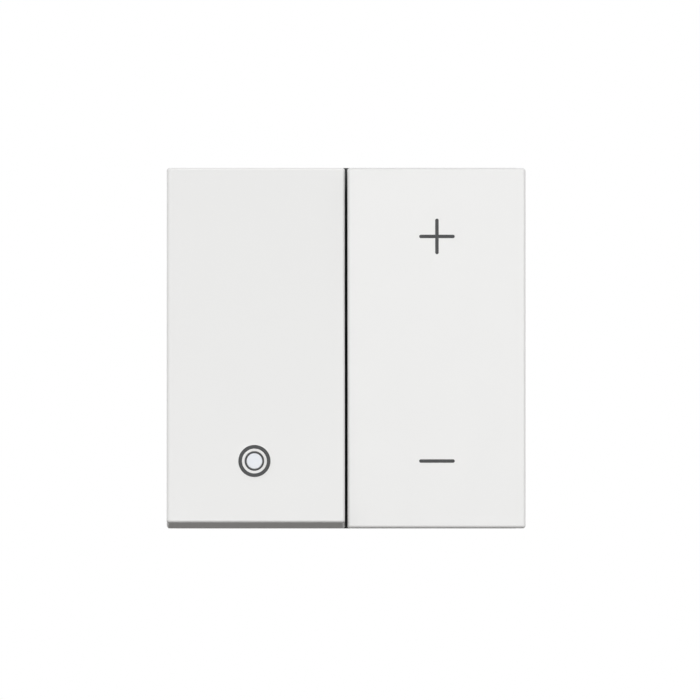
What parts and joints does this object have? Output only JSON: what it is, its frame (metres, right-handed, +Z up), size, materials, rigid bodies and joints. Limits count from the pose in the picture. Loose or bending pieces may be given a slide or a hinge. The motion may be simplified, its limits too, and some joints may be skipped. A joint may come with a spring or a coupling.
{
  "type": "push-button dimmer switch",
  "caption": "Modular wall dimmer mechanism: a tilted on/off key with a lens and ring mark beside a level plus and minus rocker key, on a snap-in body with screw terminals.",
  "frame": {"origin": "centre of the device on the front plane of the support frame it snaps into", "axes": "+X to the right seen from the front, +Y into the wall, +Z up; the keys look along -Y"},
  "size_m": [0.0448, 0.0435, 0.045],
  "materials": {
    "key_white": "fine satin gloss",
    "clear_plastic": "clear, faintly blue",
    "natural_plastic": "natural acetal",
    "housing_plastic": "fine spark-eroded",
    "board_laminate": "solder mask",
    "component_black": "moulded",
    "film_yellow": "moulded case",
    "ceramic_blue": "dipped coating",
    "ferrite": "coated ferrite",
    "copper": "enamelled wire",
    "aluminium": "plain sheet",
    "steel": "zinc plated",
    "brass": "plain"
  },
  "bodies": {
    "chassis": {"front_housing": "housing_plastic", "rear_housing": "housing_plastic", "on_off_return_spring": "steel", "control_board": "board_laminate", "locator_led": "clear_plastic", "light_guide": "clear_plastic", "microcontroller": "component_black", "power_board": "board_laminate", "board_header": "component_black", "driver_chip": "component_black", "choke_core": "ferrite", "choke_winding": "copper", "filter_capacitor": "film_yellow", "smoothing_capacitor": "component_black", "varistor": "ceramic_blue", "micro_fuse": "component_black", "power_transistor_left": "component_black", "power_transistor_right": "component_black", "heat_sink_screw_left": "steel", "heat_sink_screw_right": "steel", "heat_sink": "aluminium", "on_off_switch_base": "component_black", "on_off_switch_cover": "steel", "brighter_switch_base": "component_black", "brighter_switch_cover": "steel", "darker_switch_base": "component_black", "darker_switch_cover": "steel", "terminal_busbar_1": "brass", "terminal_busbar_2": "brass", "terminal_busbar_3": "brass"},
    "on_off_key": {"on_off_key_cap": "key_white", "on_off_lens": "clear_plastic", "on_off_rocker": "natural_plastic"},
    "dimming_key": {"dimming_key_cap": "key_white", "dimming_rocker": "natural_plastic"},
    "on_off_plunger": {"on_off_switch_plunger": "component_black"},
    "brighter_plunger": {"brighter_switch_plunger": "component_black"},
    "darker_plunger": {"darker_switch_plunger": "component_black"},
    "terminal_screw_1": {"terminal_screw_1": "steel"},
    "terminal_cage_1": {"terminal_cage_1": "brass"},
    "terminal_screw_2": {"terminal_screw_2": "steel"},
    "terminal_cage_2": {"terminal_cage_2": "brass"},
    "terminal_screw_3": {"terminal_screw_3": "steel"},
    "terminal_cage_3": {"terminal_cage_3": "brass"}
  },
  "joints": [
    {"name": "on_off_press", "type": "hinge", "parent": "chassis", "child": "on_off_key", "pos_m": [-0.01126, -0.007, 0], "axis": [1, 0, 0], "range_deg": [0, 5], "stiffness_Nm_per_rad": 0.08, "springref_deg": -5, "deforming": ["on_off_return_spring"]},
    {"name": "dimming_rock", "type": "hinge", "parent": "chassis", "child": "dimming_key", "pos_m": [0.01126, -0.007, 0], "axis": [1, 0, 0], "range_deg": [-3, 3], "stiffness_Nm_per_rad": 0.1},
    {"name": "on_off_plunger_slide", "type": "slide", "parent": "chassis", "child": "on_off_plunger", "axis": [0, 1, 0], "range_m": [0, 0.0007]},
    {"name": "brighter_plunger_slide", "type": "slide", "parent": "chassis", "child": "brighter_plunger", "axis": [0, 1, 0], "range_m": [-0.00042, 0.00042]},
    {"name": "darker_plunger_slide", "type": "slide", "parent": "chassis", "child": "darker_plunger", "axis": [0, 1, 0], "range_m": [-0.00042, 0.00042]},
    {"name": "terminal_cage_1_rise", "type": "slide", "parent": "chassis", "child": "terminal_cage_1", "axis": [0, 1, 0], "range_m": [0, 0.0024]},
    {"name": "terminal_screw_1_turn", "type": "hinge", "parent": "chassis", "child": "terminal_screw_1", "pos_m": [-0.0124, 0.0281, -0.012], "axis": [0, -1, 0], "range_deg": [0, 1441]},
    {"name": "terminal_cage_2_rise", "type": "slide", "parent": "chassis", "child": "terminal_cage_2", "axis": [0, 1, 0], "range_m": [0, 0.0024]},
    {"name": "terminal_screw_2_turn", "type": "hinge", "parent": "chassis", "child": "terminal_screw_2", "pos_m": [0, 0.0281, -0.012], "axis": [0, -1, 0], "range_deg": [0, 1441]},
    {"name": "terminal_cage_3_rise", "type": "slide", "parent": "chassis", "child": "terminal_cage_3", "axis": [0, 1, 0], "range_m": [0, 0.0024]},
    {"name": "terminal_screw_3_turn", "type": "hinge", "parent": "chassis", "child": "terminal_screw_3", "pos_m": [0.0124, 0.0281, -0.012], "axis": [0, -1, 0], "range_deg": [0, 1441]}
  ],
  "couplings": [
    {"joint": "on_off_plunger_slide", "follows": "on_off_press", "m_per_rad": 0.008},
    {"joint": "brighter_plunger_slide", "follows": "dimming_rock", "m_per_rad": -0.008},
    {"joint": "darker_plunger_slide", "follows": "dimming_rock", "m_per_rad": 0.008},
    {"joint": "terminal_screw_1_turn", "follows": "terminal_cage_1_rise", "rad_per_m": 10472},
    {"joint": "terminal_screw_2_turn", "follows": "terminal_cage_2_rise", "rad_per_m": 10472},
    {"joint": "terminal_screw_3_turn", "follows": "terminal_cage_3_rise", "rad_per_m": 10472}
  ]
}
